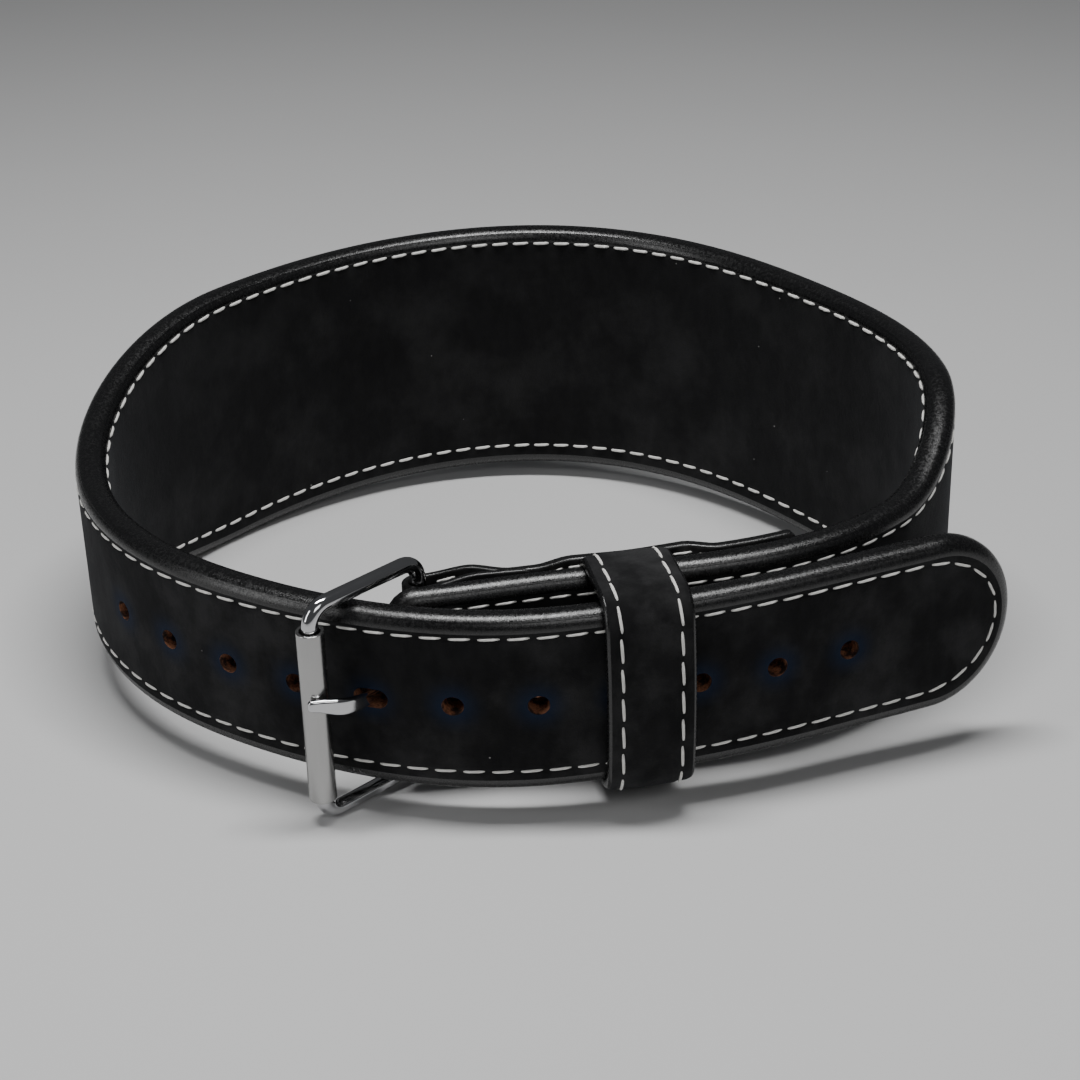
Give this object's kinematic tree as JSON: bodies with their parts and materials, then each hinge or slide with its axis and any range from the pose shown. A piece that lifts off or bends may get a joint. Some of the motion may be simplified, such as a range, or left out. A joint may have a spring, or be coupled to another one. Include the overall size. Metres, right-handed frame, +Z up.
{
  "type": "weightlifting belt",
  "caption": "Tapered lifting belt of suede-faced leather, fastened on a steel roller buckle and standing on its edge, with its tongue held by a keeper",
  "frame": {"origin": "centre of the bounding box's base, on the floor the belt stands on", "axes": "+Z up; the buckle faces -Y; the tongue points to +X"},
  "size_m": [0.3006, 0.2796, 0.1058],
  "materials": {
    "outer_suede": "napped suede",
    "leather_core": "raw in the holes, painted black at the edges",
    "inner_suede": "napped suede",
    "fold_back_strip": "matte",
    "keeper_loop": "napped suede",
    "buckle_frame": "polished plating",
    "buckle_roller": "satin plating",
    "buckle_prong": "polished plating"
  },
  "bodies": {
    "root": {"outer_suede": "outer_suede", "leather_core": "leather_core", "inner_suede": "inner_suede", "fold_back_strip": "fold_back_strip", "keeper_loop": "keeper_loop", "buckle_frame": "buckle_frame", "buckle_roller": "buckle_roller", "buckle_prong": "buckle_prong"}
  },
  "joints": []
}
